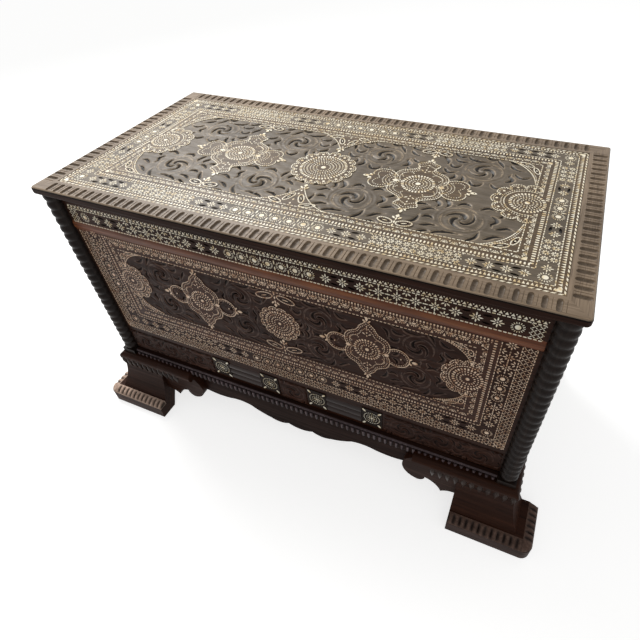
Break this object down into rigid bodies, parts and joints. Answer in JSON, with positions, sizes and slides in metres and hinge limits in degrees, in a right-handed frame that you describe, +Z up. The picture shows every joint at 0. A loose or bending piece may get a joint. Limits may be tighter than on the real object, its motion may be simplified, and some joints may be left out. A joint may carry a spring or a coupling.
{
  "type": "inlaid wooden chest",
  "caption": "Rectangular wooden storage chest with a hinged lid, turned corner columns, inlaid panels, a scalloped apron and flared bracket feet.",
  "frame": {"origin": "on the floor, at the middle of the overall footprint", "axes": "+Z up, +X to the right seen from the front, the front faces -Y"},
  "size_m": [1.24, 0.6243, 0.707],
  "materials": {
    "dark_wood": "dark stained, waxed",
    "lid_wood": "dark stained, waxed",
    "inlaid_wood": "dark stained, waxed",
    "strip_wood": "warm brown, waxed",
    "inner_wood": "plain, unvarnished",
    "bone_inlay": "polished bone",
    "hinge_brass": "aged brass",
    "screw_steel": "aged steel"
  },
  "bodies": {
    "carcass": {"apron_front": "dark_wood", "apron_left": "dark_wood", "apron_right": "dark_wood", "back_board_1": "inner_wood", "back_board_2": "inner_wood", "back_board_3": "inner_wood", "base_moulding_front": "dark_wood", "base_moulding_left": "dark_wood", "base_moulding_right": "dark_wood", "base_rail_back": "inner_wood", "bottom_board": "inner_wood", "bracket_front_left": "dark_wood", "bracket_front_right": "dark_wood", "bracket_side_front_left": "dark_wood", "bracket_side_front_right": "dark_wood", "bracket_side_rear_left": "dark_wood", "bracket_side_rear_right": "dark_wood", "corner_post_front_left": "dark_wood", "corner_post_front_right": "dark_wood", "corner_post_rear_left": "dark_wood", "corner_post_rear_right": "dark_wood", "foot_front_left": "dark_wood", "foot_front_right": "dark_wood", "foot_rear_left": "dark_wood", "foot_rear_right": "dark_wood", "front_bead_strip": "strip_wood", "front_frieze_rail": "inlaid_wood", "front_lower_rail": "dark_wood", "front_panel": "inlaid_wood", "hinge_left_body_leaf": "hinge_brass", "hinge_left_pin": "hinge_brass", "hinge_right_body_leaf": "hinge_brass", "hinge_right_pin": "hinge_brass", "hinge_screws_body": "screw_steel", "left_bead_strip": "strip_wood", "left_frieze_rail": "inlaid_wood", "left_lower_rail": "dark_wood", "left_panel": "inlaid_wood", "right_bead_strip": "strip_wood", "right_frieze_rail": "inlaid_wood", "right_lower_rail": "dark_wood", "right_panel": "inlaid_wood"},
    "lid": {"hinge_left_lid_leaf": "hinge_brass", "hinge_right_lid_leaf": "hinge_brass", "hinge_screws_lid": "screw_steel", "lid_batten_left": "inner_wood", "lid_batten_right": "inner_wood", "lid_border_back": "lid_wood", "lid_border_front": "lid_wood", "lid_border_left": "lid_wood", "lid_border_right": "lid_wood", "lid_panel": "lid_wood"}
  },
  "joints": [
    {"name": "lid_hinge", "type": "hinge", "parent": "carcass", "child": "lid", "pos_m": [0, 0.30815, 0.69], "axis": [-1, 0, 0], "range_deg": [0, 100]}
  ]
}
